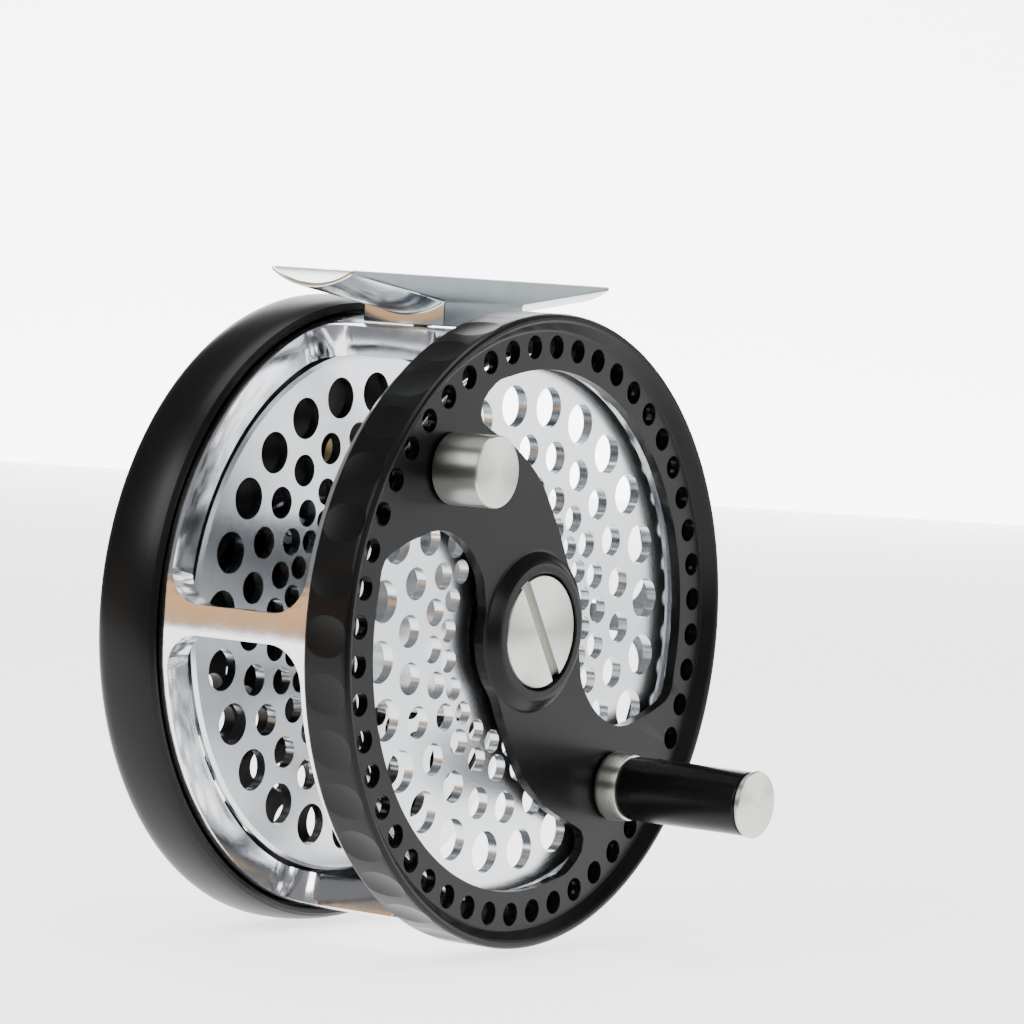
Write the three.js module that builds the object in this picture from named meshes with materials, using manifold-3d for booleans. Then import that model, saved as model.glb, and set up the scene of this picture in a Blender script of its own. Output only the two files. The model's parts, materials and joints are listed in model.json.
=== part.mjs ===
// Fly reel, direct drive, with a rear drag knob and a click selector.
//
// Units are millimetres. Seen from the handle side, X runs to the right, Z runs up to the rod
// and Y runs along the spool axis from the handle to the drag knob.
// The origin is the middle of the foot's channel, where the foot seats on a rod.
// Every piece is modelled about the spool axis, with Y = 0 on the front of the holed ring,
// and one group then carries the whole reel to its origin.

import * as THREE from 'three';
import { mergeVertices } from 'three/addons/utils/BufferGeometryUtils.js';
import Module from 'manifold-3d';

const wasm = await Module();
wasm.setup();

// ---------------------------------------------------------------- driving dimensions

const GAP = 0.3; // running and assembly gap between touching pieces
const PAST = 1; // how far a cutting tool runs past the metal

const foot = {
  halfLength: 32.1,
  halfWidth: 7.4,
  topZ: 51.1,
  sag: 2.2, // depth of the channel that takes the rod's reel seat
  tipThickness: 0.65,
  rootThickness: 3.7,
  centreY: 20,
  pedestalHalfLength: 9.8,
  pedestalBottomZ: 43.7,
};
const seatZ = foot.topZ - foot.sag;

const cage = {
  outerR: 44.8,
  innerR: 40.2,
  frontY: 2.2,
  rearY: 36.5,
  windowFrontY: 8,
  windowRearY: 32.4,
  windowCorner: 5.5,
  sideBarHalfWidth: 2.2,
  wideBarHalfAngle: 16.5,
  flatZ: 43.4,
};

const facePlate = {
  thickness: 1.6,
  outerR: 46.7,
  lipY: -1.9,
  rimBackY: 6,
  rimInnerR: 45.3,
  windowR: 38.4,
  hubY: -1.6,
  hubR: 12,
  lipInnerR: 43.7,
  boreR: 8.65,
  holeRing: { count: 48, radius: 41.75, holeR: 1.8, phase: -5.6 },
  // the two edges of the bridge that bound its right-hand window, as X and Z
  upperEdge: [[-16.3, 31.5], [-12.6, 29], [-8.4, 27.4], [-4.2, 25], [-0.3, 21.9], [3.2, 17.3], [6.2, 12.6]],
  lowerEdge: [
    [12.5, -5.4],
    [13.2, -7.9],
    [14.8, -10.1],
    [17, -12.2],
    [20.7, -14.2],
    [24.4, -14.9],
    [29.4, -13.9],
    [33.4, -12.6],
  ],
};

const flange = {
  outerR: 39.2,
  boreR: 12.3,
  thickness: 1.6,
  frontY: 3,
  rearY: 32.1,
  // from the rim inwards: circle radius, hole radius, which of the two staggered phases
  rows: [
    { radius: 33, holeR: 3.1, stagger: 0, sides: 6 },
    { radius: 26.3, holeR: 2.4, stagger: 1, sides: 5 },
    { radius: 20.6, holeR: 2.05, stagger: 0, sides: 4 },
    { radius: 17, holeR: 1.75, stagger: 1, sides: 4 },
  ],
  holesPerRow: 24,
  frontPhase: 8,
  rearPhase: 1,
};

const arbor = { bodyR: 14, spigotR: 12, boreR: 6.8, neckR: 5, neckBoreR: 4, neckY: 33 };
const spindle = { frontR: 3.5, frontY: 5, flangeR: 7.5, flangeY: 39, rearR: 2.5, rearY: 48 };
const bearing = { boreR: 3.8, outerR: 6.5, raceThickness: 0.7, width: 4.2, frontY: 5, rearY: 28.5 };

const backPlate = {
  outerR: 47.4,
  skirtY: 33.8,
  innerFaceY: 40.6,
  faceY: 42.6,
  lipY: 43.8,
  lipInnerR: 45.6,
  pocketR: 39.8,
  hubBoreR: 2.8,
  screwCircleR: 43.2,
  screwHeadR: 1.95,
};
// rows of vent holes below the drag knob
const vents = [
  { radius: 33.1, holeR: 3.1, count: 10 },
  { radius: 26.3, holeR: 2.35, count: 11 },
  { radius: 20.8, holeR: 2.05, count: 10 },
];
const ventHalfAngle = 63.3;

const gear = { teeth: 36, toothHalf: 0.28, tipR: 12.6, rootR: 11.4, boreR: 7.9, frontY: 34.7, rearY: 36.3 };
const clutch = { innerR: 5.3, outerR: 7.6 };
const pawl = {
  pivotX: 14.8,
  pivotZ: 12.4,
  tipR: 12.3,
  tipAngle: 35,
  lift: 10, // degrees from engaged to clear of the gear
  hubR: 2.4,
  noseLength: 1.6,
  noseHalfWidth: 0.9,
  tipHalfWidth: 0.25,
  frontY: 34.9,
  rearY: 36.2,
};
const spring = {
  frontY: 35,
  rearY: 37.4,
  halfThickness: 0.25,
  earR: 2.2,
  earFrontY: 36.6,
  route: [[32.6, 1.6], [27.5, 7.6], [21.5, 14.2], [14, 16.6], [6, 17]], // right-hand side, X and Z
};
const rivet = { x: 30.5, z: 4.2, headR: 1.4, shankR: 1, frontY: 37.8, standsProud: 0.2 };
const stopPin = { x: 8.3, z: 24.7, radius: 0.7, frontY: 41, standsProud: 0.9 };
const selector = {
  z: 24.4,
  buttonR: 7.2,
  faceY: 44.6,
  barHeight: 0.9, // how far the finger bar stands above the button
  barWidth: 5.2,
  barLength: 13,
  barTurn: 18,
  shaftR: 2.5,
  shaftFrontY: 40.5,
};
const cam = { radius: 3.6, frontY: 38, rearY: 40.2, offsetZ: -1.4 };
const dragStack = { boreR: 4, outerR: 10.5, discY: 36.9, discBackY: 37.6, plateY: 37.9, plateBackY: 38.7 };
const pushPin = { radius: 0.8, circleR: 5.5, angles: [60, 180, 300] };
const knob = { outerR: 12.1, backY: 42.9, faceY: 49.3 };
const handle = {
  x: 22.7,
  z: -23.8,
  collarR: 5.2,
  gripR: 4.8,
  capR: 5,
  collarY: -4,
  gripY: -25,
  capY: -26.2,
};
const handlePost = { shankR: 2.2, headR: 3.2, backY: 2.7, frontY: -24 };
const counterweight = { x: -22.7, z: 23.8, radius: 5.2, frontY: -8.3 };
const weightScrew = { shankR: 1.3, headR: 2.6, backY: 2.7, frontY: -5.5 };
const spoolScrew = { headR: 8.35, faceY: -1.5, collarR: 4.6, shankR: 2.2, shankY: 11.5 };
const screwSlot = { width: 1.9, depth: 1.1, turn: 57 };
const footScrew = { x: [-5.5, 5.5], headR: 2.2, headZ: 40.7, shankZ: 41.8, topZ: 46, shankR: 1.1 };
const plateScrew = {
  angles: { top: 0, right: 90, bottom: 180, left: 270 },
  headHeight: 0.9,
  standsProud: 0.1,
  shankR: 0.8,
  clearanceR: 1.1,
  seatDepth: 1.2,
  depth: 2.4,
};

// ---------------------------------------------------------------- finishes

const finishes = {
  blackAnodised: { color: 0x18191b, roughness: 0.42, metalness: 0.5 },
  polishedAluminium: { color: 0xd6d8da, roughness: 0.16, metalness: 1 },
  satinAluminium: { color: 0xc4c8cb, roughness: 0.32, metalness: 1 },
  stainlessSteel: { color: 0xb9b6ae, roughness: 0.3, metalness: 1 },
  springSteel: { color: 0x8f9296, roughness: 0.35, metalness: 1 },
  brass: { color: 0xb88a3e, roughness: 0.35, metalness: 1 },
  copper: { color: 0xb0704c, roughness: 0.4, metalness: 1 },
  cork: { color: 0xa7794b, roughness: 0.9, metalness: 0 },
};

// ---------------------------------------------------------------- solids and booleans

const rad = THREE.MathUtils.degToRad;

// Angles run clockwise from twelve o'clock, seen from the handle side.
const clock = (radius, degrees) => ({
  x: radius * Math.sin(rad(degrees)),
  z: radius * Math.cos(rad(degrees)),
});

function signedVolume(geometry) {
  const position = geometry.attributes.position;
  const index = geometry.index.array;
  const [a, b, c] = [new THREE.Vector3(), new THREE.Vector3(), new THREE.Vector3()];
  let volume = 0;
  for (let i = 0; i < index.length; i += 3) {
    a.fromBufferAttribute(position, index[i]);
    b.fromBufferAttribute(position, index[i + 1]);
    c.fromBufferAttribute(position, index[i + 2]);
    volume += a.dot(b.cross(c)) / 6;
  }
  return volume;
}

// Merges shared vertices, drops empty triangles and points the faces outwards.
function closed(source) {
  const bare = source.clone();
  bare.deleteAttribute('normal');
  bare.deleteAttribute('uv');
  const geometry = mergeVertices(bare, 1e-4);
  const triangles = [];
  const index = geometry.index.array;
  for (let i = 0; i < index.length; i += 3) {
    const [a, b, c] = [index[i], index[i + 1], index[i + 2]];
    if (a !== b && b !== c && c !== a) triangles.push(a, b, c);
  }
  geometry.setIndex(triangles);
  if (signedVolume(geometry) < 0) geometry.setIndex(triangles.reverse());
  return geometry;
}

function toSolid(source) {
  const geometry = closed(source);
  const mesh = new wasm.Mesh({
    numProp: 3,
    vertProperties: new Float32Array(geometry.attributes.position.array),
    triVerts: new Uint32Array(geometry.index.array),
  });
  return new wasm.Manifold(mesh);
}

function toGeometry(solid) {
  const mesh = solid.getMesh();
  const geometry = new THREE.BufferGeometry();
  geometry.setAttribute('position', new THREE.BufferAttribute(mesh.vertProperties, 3));
  geometry.setIndex(new THREE.BufferAttribute(mesh.triVerts, 1));
  return geometry;
}

function cut(source, tools) {
  let solid = toSolid(source);
  for (const tool of tools) solid = solid.subtract(toSolid(tool));
  return toGeometry(solid);
}

function join(source, others) {
  let solid = toSolid(source);
  for (const other of others) solid = solid.add(toSolid(other));
  return toGeometry(solid);
}

// Turned about the spool axis. Each profile point is [radius, y]; the profile closes on itself.
function turned(profile, segments = 32) {
  const points = [...profile, profile[0]].map(([radius, y]) => new THREE.Vector2(radius, y));
  return closed(new THREE.LatheGeometry(points, segments));
}

function disc(radius, y0, y1, segments = 24) {
  return turned([[0, y0], [radius, y0], [radius, y1], [0, y1]], segments);
}

function ring(innerR, outerR, y0, y1, segments = 32) {
  return turned([[innerR, y0], [outerR, y0], [outerR, y1], [innerR, y1]], segments);
}

function pinAt(x, z, radius, y0, y1, sides = 12) {
  return disc(radius, y0, y1, sides).translate(x, 0, z);
}

// A flat outline drawn in X and Z, with its holes, made thick from y0 to y1.
function plate(outline, holes, y0, y1) {
  const points = THREE.ShapeUtils.isClockWise(outline) ? [...outline].reverse() : outline;
  const shape = new THREE.Shape(points);
  for (const hole of holes) shape.holes.push(new THREE.Path(hole));
  const geometry = new THREE.ExtrudeGeometry(shape, { depth: y1 - y0, bevelEnabled: false });
  return closed(geometry.rotateX(Math.PI / 2).translate(0, y1, 0));
}

function polygon(x, z, radius, sides) {
  const points = [];
  for (let i = 0; i < sides; i += 1) {
    const angle = (i / sides) * 2 * Math.PI;
    points.push(new THREE.Vector2(x + radius * Math.sin(angle), z + radius * Math.cos(angle)));
  }
  return points;
}

// A closed skin over matching stations. A station is two rails of points with the same count.
function loft(stations) {
  const rail = stations[0].upper.length;
  const positions = [];
  for (const { upper, lower } of stations) positions.push(...upper.flat(), ...lower.flat());
  const at = (station, row, i) => station * 2 * rail + row * rail + i;
  const index = [];
  const quad = (a, b, c, d) => index.push(a, b, c, a, c, d);
  const last = stations.length - 1;
  for (let s = 0; s < last; s += 1) {
    for (let i = 0; i < rail - 1; i += 1) {
      quad(at(s, 0, i), at(s, 0, i + 1), at(s + 1, 0, i + 1), at(s + 1, 0, i));
      quad(at(s, 1, i + 1), at(s, 1, i), at(s + 1, 1, i), at(s + 1, 1, i + 1));
    }
    quad(at(s, 0, rail - 1), at(s, 1, rail - 1), at(s + 1, 1, rail - 1), at(s + 1, 0, rail - 1));
    quad(at(s, 1, 0), at(s, 0, 0), at(s + 1, 0, 0), at(s + 1, 1, 0));
  }
  for (let i = 0; i < rail - 1; i += 1) {
    quad(at(0, 0, i + 1), at(0, 0, i), at(0, 1, i), at(0, 1, i + 1));
    quad(at(last, 0, i), at(last, 0, i + 1), at(last, 1, i + 1), at(last, 1, i));
  }
  const geometry = new THREE.BufferGeometry();
  geometry.setAttribute('position', new THREE.Float32BufferAttribute(positions, 3));
  geometry.setIndex(index);
  return closed(geometry);
}

// ---------------------------------------------------------------- foot

function reelFoot() {
  const facets = 9;
  const radius = (foot.halfWidth ** 2 + foot.sag ** 2) / (2 * foot.sag);
  const halfAngle = Math.asin(foot.halfWidth / radius);
  const crossSection = (x, thickness) => {
    const upper = [];
    const lower = [];
    for (let i = 0; i <= facets; i += 1) {
      const angle = halfAngle * ((2 * i) / facets - 1);
      const y = foot.centreY + radius * Math.sin(angle);
      const middle = Math.cos(halfAngle / facets);
      const z = seatZ + radius * (middle - Math.cos(angle));
      upper.push([x, y, z]);
      lower.push([x, y, z - thickness]);
    }
    return { upper, lower };
  };
  const arms = loft([
    crossSection(-foot.halfLength, foot.tipThickness),
    crossSection(-foot.pedestalHalfLength, foot.rootThickness),
    crossSection(foot.pedestalHalfLength, foot.rootThickness),
    crossSection(foot.halfLength, foot.tipThickness),
  ]);
  const height = foot.topZ - foot.rootThickness - foot.pedestalBottomZ;
  const pedestal = new THREE.BoxGeometry(2 * foot.pedestalHalfLength, 2 * foot.halfWidth, height)
    .translate(0, foot.centreY, foot.pedestalBottomZ + height / 2);
  const tappedHoles = footScrew.x.map((x) => footScrewHole(x));
  return cut(join(arms, [pedestal]), tappedHoles);
}

function uprightPin(x, radius, z0, z1) {
  return disc(radius, z0, z1, 12).rotateX(Math.PI / 2).translate(x, foot.centreY, 0);
}

function footScrewHole(x) {
  return uprightPin(x, footScrew.shankR + GAP, cage.innerR - 2 * PAST, footScrew.topZ + GAP);
}

function footScrewSolid(x) {
  const head = uprightPin(x, footScrew.headR, footScrew.headZ, footScrew.shankZ);
  const shank = uprightPin(x, footScrew.shankR, footScrew.headZ, footScrew.topZ);
  return join(head, [shank]);
}

// ---------------------------------------------------------------- cage

// A window through the cage wall between two clock angles, with rounded corners.
function cageWindow(startAngle, endAngle) {
  const cornerSteps = 3;
  const corner = cage.windowCorner;
  const degreesPerMm = 180 / (Math.PI * cage.outerR);
  const stations = [];
  const addStation = (angle, inset) => {
    const inner = clock(cage.innerR - 3 * PAST, angle);
    const outer = clock(cage.outerR + PAST, angle);
    const front = cage.windowFrontY + inset;
    const rear = cage.windowRearY - inset;
    stations.push({
      upper: [[outer.x, front, outer.z], [outer.x, rear, outer.z]],
      lower: [[inner.x, front, inner.z], [inner.x, rear, inner.z]],
    });
  };
  for (let i = 0; i <= cornerSteps; i += 1) {
    const turn = (i / cornerSteps) * (Math.PI / 2);
    addStation(startAngle + corner * (1 - Math.cos(turn)) * degreesPerMm, corner * (1 - Math.sin(turn)));
  }
  const straight = endAngle - startAngle - 2 * corner * degreesPerMm;
  const steps = Math.round(straight / 8);
  for (let i = 1; i < steps; i += 1) {
    addStation(startAngle + corner * degreesPerMm + (straight * i) / steps, 0);
  }
  for (let i = cornerSteps; i >= 0; i -= 1) {
    const turn = (i / cornerSteps) * (Math.PI / 2);
    addStation(endAngle - corner * (1 - Math.cos(turn)) * degreesPerMm, corner * (1 - Math.sin(turn)));
  }
  return loft(stations);
}

function frameCage() {
  const wall = ring(cage.innerR, cage.outerR, cage.frontY, cage.rearY, 40);
  const sideBar = THREE.MathUtils.radToDeg(cage.sideBarHalfWidth / cage.outerR);
  const windows = [0, 180].flatMap((base) => [
    cageWindow(base + cage.wideBarHalfAngle, base + 90 - sideBar),
    cageWindow(base + 90 + sideBar, base + 180 - cage.wideBarHalfAngle),
  ]);
  const depth = cage.rearY - cage.frontY;
  const seatFlat = new THREE.BoxGeometry(2 * cage.outerR, depth - 12, 2 * PAST + 1)
    .translate(0, foot.centreY, cage.flatZ + PAST + 0.5);
  const screwSeats = footScrew.x.map((x) => (
    uprightPin(x, footScrew.headR + GAP, cage.innerR - 2 * PAST, footScrew.shankZ + GAP)));
  const screwHoles = Object.values(plateScrew.angles).map((angle) => {
    const { x, z } = clock(backPlate.screwCircleR, angle);
    return pinAt(x, z, plateScrew.clearanceR, cage.rearY - plateScrew.depth - 2 * GAP, cage.rearY + PAST, 8);
  });
  const tools = [...windows, seatFlat, ...footScrew.x.map(footScrewHole), ...screwSeats, ...screwHoles];
  return cut(wall, tools);
}

// ---------------------------------------------------------------- back plate

function backPlateSolid() {
  const { outerR, skirtY, innerFaceY, faceY, lipY, lipInnerR, pocketR, hubBoreR } = backPlate;
  const shell = turned([
    [hubBoreR, faceY],
    [hubBoreR, innerFaceY],
    [pocketR, innerFaceY],
    [pocketR, cage.rearY + GAP],
    [cage.outerR + GAP, cage.rearY + GAP],
    [cage.outerR + GAP, skirtY],
    [outerR - 1.3, skirtY],
    [outerR - 0.4, skirtY + 2.5],
    [outerR, skirtY + 5.5],
    [outerR, lipY - 1.5],
    [outerR - 1.1, lipY],
    [lipInnerR, faceY],
  ], 40);
  const through = (x, z, radius, sides) => (
    pinAt(x, z, radius, innerFaceY - 5 * PAST, faceY + PAST, sides));
  const tools = [];
  for (const { radius, holeR, count } of vents) {
    for (let i = 0; i < count; i += 1) {
      const angle = 180 + ventHalfAngle * ((2 * i) / (count - 1) - 1);
      const { x, z } = clock(radius, angle);
      tools.push(through(x, z, holeR, 5));
    }
  }
  for (const angle of Object.values(plateScrew.angles)) {
    const { x, z } = clock(backPlate.screwCircleR, angle);
    tools.push(through(x, z, plateScrew.clearanceR, 8));
    tools.push(pinAt(x, z, backPlate.screwHeadR + GAP, faceY - plateScrew.seatDepth, faceY + PAST, 10));
  }
  for (const side of [-1, 1]) {
    tools.push(through(side * pawl.pivotX, pawl.pivotZ, rivet.headR + GAP, 10));
    tools.push(through(side * rivet.x, rivet.z, rivet.headR + GAP, 10));
  }
  for (const angle of pushPin.angles) {
    const { x, z } = clock(pushPin.circleR, angle);
    tools.push(through(x, z, pushPin.radius + GAP, 8));
  }
  tools.push(through(0, selector.z, selector.shaftR + GAP, 16));
  tools.push(through(stopPin.x, stopPin.z, stopPin.radius + GAP, 8));
  return cut(shell, tools);
}

function backPlateScrew(angle) {
  const { x, z } = clock(backPlate.screwCircleR, angle);
  const headBackY = backPlate.faceY - plateScrew.headHeight;
  const headFaceY = backPlate.faceY + plateScrew.standsProud;
  const head = pinAt(x, z, backPlate.screwHeadR, headBackY, headFaceY, 16);
  const shank = pinAt(x, z, plateScrew.shankR, cage.rearY - plateScrew.depth, headBackY + 0.2, 8);
  return join(head, [shank]);
}

// ---------------------------------------------------------------- spindle, bearings and drag

function spindleSolid() {
  const shaft = turned([
    [0, spoolScrew.shankY + 0.5],
    [spoolScrew.shankR + GAP, spoolScrew.shankY + 0.5],
    [spoolScrew.shankR + GAP, spindle.frontY],
    [spindle.frontR, spindle.frontY],
    [spindle.frontR, spindle.flangeY],
    [spindle.flangeR, spindle.flangeY],
    [spindle.flangeR, backPlate.innerFaceY - GAP],
    [spindle.rearR, backPlate.innerFaceY - GAP],
    [spindle.rearR, spindle.rearY],
    [0, spindle.rearY],
  ], 14);
  const pinHoles = pushPin.angles.map((angle) => {
    const { x, z } = clock(pushPin.circleR, angle);
    return pinAt(x, z, pushPin.radius + GAP, spindle.flangeY - PAST, backPlate.innerFaceY, 8);
  });
  return cut(shaft, pinHoles);
}

function spoolScrewSolid() {
  const { headR, faceY, collarR, shankR, shankY } = spoolScrew;
  const body = turned([
    [0, faceY],
    [headR - 0.3, faceY],
    [headR, faceY + 0.3],
    [headR, 1],
    [collarR, 1],
    [collarR, spindle.frontY - GAP],
    [shankR, spindle.frontY - GAP],
    [shankR, shankY],
    [0, shankY],
  ], 24);
  const slot = new THREE.BoxGeometry(3 * headR, 2 * screwSlot.depth, screwSlot.width)
    .rotateY(rad(screwSlot.turn))
    .translate(0, faceY, 0);
  return cut(body, [slot]);
}

function pressurePlate() {
  const { boreR, outerR, plateY, plateBackY } = dragStack;
  const body = ring(boreR, outerR, plateY, plateBackY, 20);
  const pins = pushPin.angles.map((angle) => {
    const { x, z } = clock(pushPin.circleR, angle);
    return pinAt(x, z, pushPin.radius, plateY + GAP, knob.backY - GAP, 8);
  });
  return join(body, pins);
}

function dragKnob() {
  return turned([
    [0, spindle.rearY + GAP],
    [spindle.rearR + GAP, spindle.rearY + GAP],
    [spindle.rearR + GAP, knob.backY],
    [knob.outerR - 0.5, knob.backY],
    [knob.outerR, knob.backY + 0.5],
    [knob.outerR, knob.faceY - 0.5],
    [knob.outerR - 0.5, knob.faceY],
    [0, knob.faceY],
  ], 24);
}

// ---------------------------------------------------------------- click work

function clickGear() {
  const pitch = 360 / gear.teeth;
  const corners = [];
  for (let i = 0; i < gear.teeth; i += 1) {
    // a pointed tooth stands at each whole pitch
    const { rootR, tipR, toothHalf } = gear;
    for (const [radius, offset] of [[rootR, -toothHalf], [tipR, 0], [rootR, toothHalf]]) {
      const { x, z } = clock(radius, (i + offset) * pitch);
      corners.push(new THREE.Vector2(x, z));
    }
  }
  return plate(corners, [polygon(0, 0, gear.boreR, 18)], gear.frontY, gear.rearY);
}

// Modelled for the right-hand side with the click off; side -1 mirrors it.
function clickPawl(side) {
  const tip = clock(pawl.tipR, pawl.tipAngle);
  const reach = Math.hypot(tip.x - pawl.pivotX, tip.z - pawl.pivotZ);
  const engaged = Math.atan2(tip.z - pawl.pivotZ, tip.x - pawl.pivotX);
  const direction = engaged - rad(pawl.lift);
  const along = new THREE.Vector2(Math.cos(direction), Math.sin(direction));
  const across = new THREE.Vector2(-along.y, along.x);
  const at = (length, width) => new THREE.Vector2(
    side * (pawl.pivotX + length * along.x + width * across.x),
    pawl.pivotZ + length * along.y + width * across.y,
  );
  const { hubR, noseLength, noseHalfWidth, tipHalfWidth } = pawl;
  const outline = [at(reach, tipHalfWidth), at(reach - noseLength, noseHalfWidth)];
  for (let i = 0; i <= 8; i += 1) {
    const angle = rad(60 + i * 30);
    outline.push(at(hubR * Math.cos(angle), hubR * Math.sin(angle)));
  }
  outline.push(at(reach - noseLength, -noseHalfWidth), at(reach, -tipHalfWidth));
  const pivotHole = polygon(side * pawl.pivotX, pawl.pivotZ, rivet.shankR + GAP, 12);
  return plate(outline, [pivotHole], pawl.frontY, pawl.rearY);
}

function pawlPost(side) {
  const x = side * pawl.pivotX;
  const head = pinAt(x, pawl.pivotZ, rivet.headR, backPlate.innerFaceY + 0.4, backPlate.faceY - 0.1, 12);
  const shank = pinAt(x, pawl.pivotZ, rivet.shankR, gear.frontY, backPlate.innerFaceY + 1, 12);
  return join(head, [shank]);
}

function springRivet(side) {
  const x = side * rivet.x;
  const headFaceY = backPlate.faceY + rivet.standsProud;
  const head = pinAt(x, rivet.z, rivet.headR, backPlate.innerFaceY + 0.4, headFaceY, 12);
  const shank = pinAt(x, rivet.z, rivet.shankR, rivet.frontY, backPlate.innerFaceY + 1, 12);
  return join(head, [shank]);
}

function clickSpring(side) {
  const { halfThickness, frontY, rearY, earR, earFrontY } = spring;
  const curve = new THREE.CatmullRomCurve3(spring.route.map(([x, z]) => new THREE.Vector3(side * x, z, 0)));
  const steps = 12;
  const outer = [];
  const inner = [];
  for (let i = 0; i <= steps; i += 1) {
    const point = curve.getPoint(i / steps);
    const tangent = curve.getTangent(i / steps);
    const normal = new THREE.Vector2(-tangent.y, tangent.x).multiplyScalar(halfThickness);
    outer.push(new THREE.Vector2(point.x + normal.x, point.y + normal.y));
    inner.unshift(new THREE.Vector2(point.x - normal.x, point.y - normal.y));
  }
  const leaf = plate([...outer, ...inner], [], frontY, rearY);
  const ear = disc(earR, earFrontY, rearY, 12).translate(side * rivet.x, 0, rivet.z);
  return join(leaf, [ear]);
}

function selectorButton() {
  const { buttonR, faceY, barHeight, barWidth, barLength, barTurn, shaftR, shaftFrontY } = selector;
  const base = disc(buttonR, backPlate.faceY + GAP, faceY - barHeight, 28);
  const bar = new THREE.BoxGeometry(barWidth, barHeight + GAP, barLength)
    .rotateY(rad(barTurn))
    .translate(0, faceY - (barHeight + GAP) / 2, 0);
  const shaft = disc(shaftR, shaftFrontY, backPlate.faceY + 2 * GAP, 16);
  return join(base, [bar, shaft]).translate(0, 0, selector.z);
}

function selectorCam() {
  return disc(cam.radius, cam.frontY, cam.rearY, 20).translate(0, 0, selector.z + cam.offsetZ);
}

// ---------------------------------------------------------------- spool

function spoolFlange(y, phase) {
  const web = ring(flange.boreR, flange.outerR, y, y + flange.thickness, 40);
  const pitch = 360 / flange.holesPerRow;
  const holes = [];
  for (const { radius, holeR, stagger, sides } of flange.rows) {
    for (let i = 0; i < flange.holesPerRow; i += 1) {
      const { x, z } = clock(radius, phase + (i - stagger / 2) * pitch);
      holes.push(pinAt(x, z, holeR, y - PAST, y + flange.thickness + PAST, sides));
    }
  }
  return cut(web, holes);
}

function spoolArbor() {
  return turned([
    [arbor.boreR, facePlate.thickness + GAP],
    [arbor.spigotR, facePlate.thickness + GAP],
    [arbor.spigotR, flange.frontY + flange.thickness + GAP],
    [arbor.bodyR, flange.frontY + flange.thickness + GAP],
    [arbor.bodyR, flange.rearY - GAP],
    [arbor.spigotR, flange.rearY - GAP],
    [arbor.spigotR, gear.frontY - GAP],
    [arbor.neckR, gear.frontY - GAP],
    [arbor.neckR, gear.rearY],
    [arbor.neckBoreR, gear.rearY],
    [arbor.neckBoreR, arbor.neckY],
    [arbor.boreR, arbor.neckY],
  ], 24);
}

// One of the two windows that leave the S-shaped bridge between them. Points are X and Z.
function bridgeWindow() {
  const smooth = (points, divisions) => (
    new THREE.SplineCurve(points.map(([x, z]) => new THREE.Vector2(x, z))).getPoints(divisions));
  const hubArc = [];
  for (let angle = 40; angle <= 100; angle += 20) {
    const { x, z } = clock(facePlate.hubR + 0.4, angle);
    hubArc.push(new THREE.Vector2(x, z));
  }
  const rimArc = [];
  for (let angle = 102; angle >= -24; angle -= 6) {
    const { x, z } = clock(facePlate.windowR, angle);
    rimArc.push(new THREE.Vector2(x, z));
  }
  return [...smooth(facePlate.upperEdge, 12), ...hubArc, ...smooth(facePlate.lowerEdge, 12), ...rimArc];
}

function facePlateSolid() {
  const { thickness, outerR, lipY, lipInnerR, rimBackY, rimInnerR, hubY, hubR, boreR, holeRing } = facePlate;
  const body = turned([
    [boreR, hubY],
    [hubR - 2, hubY],
    [hubR, 0],
    [lipInnerR, 0],
    [outerR - 1, lipY],
    [outerR - 0.5, lipY],
    [outerR, lipY + 0.8],
    [outerR, rimBackY],
    [rimInnerR, rimBackY],
    [rimInnerR, thickness],
    [boreR, thickness],
  ], 40);
  const tools = [];
  for (const turn of [0, Math.PI]) {
    tools.push(plate(bridgeWindow(), [], -PAST, thickness + PAST).rotateY(turn));
  }
  for (let i = 0; i < holeRing.count; i += 1) {
    const { x, z } = clock(holeRing.radius, holeRing.phase + (i * 360) / holeRing.count);
    tools.push(pinAt(x, z, holeRing.holeR, -PAST, thickness + PAST, 5));
  }
  tools.push(pinAt(handle.x, handle.z, handlePost.shankR + GAP, -PAST, thickness + PAST, 12));
  tools.push(pinAt(counterweight.x, counterweight.z, weightScrew.shankR + GAP, -PAST, thickness + PAST, 12));
  return cut(body, tools);
}

// ---------------------------------------------------------------- handle and counterweight

function headedPin({ shankR, headR, backY, frontY }) {
  return turned([
    [0, frontY],
    [shankR, frontY],
    [shankR, facePlate.thickness + GAP],
    [headR, facePlate.thickness + GAP],
    [headR, backY],
    [0, backY],
  ], 16);
}

function handleCollar() {
  const { collarR, collarY } = handle;
  const boreR = handlePost.shankR + GAP;
  return turned([
    [boreR, collarY],
    [collarR - 0.6, collarY],
    [collarR, collarY + 0.8],
    [collarR - 0.5, -GAP],
    [boreR, -GAP],
  ], 18);
}

function handleGrip() {
  return ring(handlePost.shankR + GAP, handle.gripR, handle.gripY, handle.collarY - GAP, 18);
}

function counterweightSolid() {
  const { radius, frontY } = counterweight;
  const boreR = weightScrew.shankR + GAP;
  const boreY = weightScrew.frontY - GAP;
  return turned([
    [0, frontY],
    [radius - 0.4, frontY],
    [radius, frontY + 0.4],
    [radius, -GAP],
    [boreR, -GAP],
    [boreR, boreY],
    [0, boreY],
  ], 18);
}

// ---------------------------------------------------------------- assembly

const reel = new THREE.Group();

function add(name, geometry, finish, position = [0, 0, 0]) {
  const mesh = new THREE.Mesh(geometry, new THREE.MeshStandardMaterial(finishes[finish]));
  mesh.name = name;
  mesh.position.set(...position);
  reel.add(mesh);
}

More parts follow.
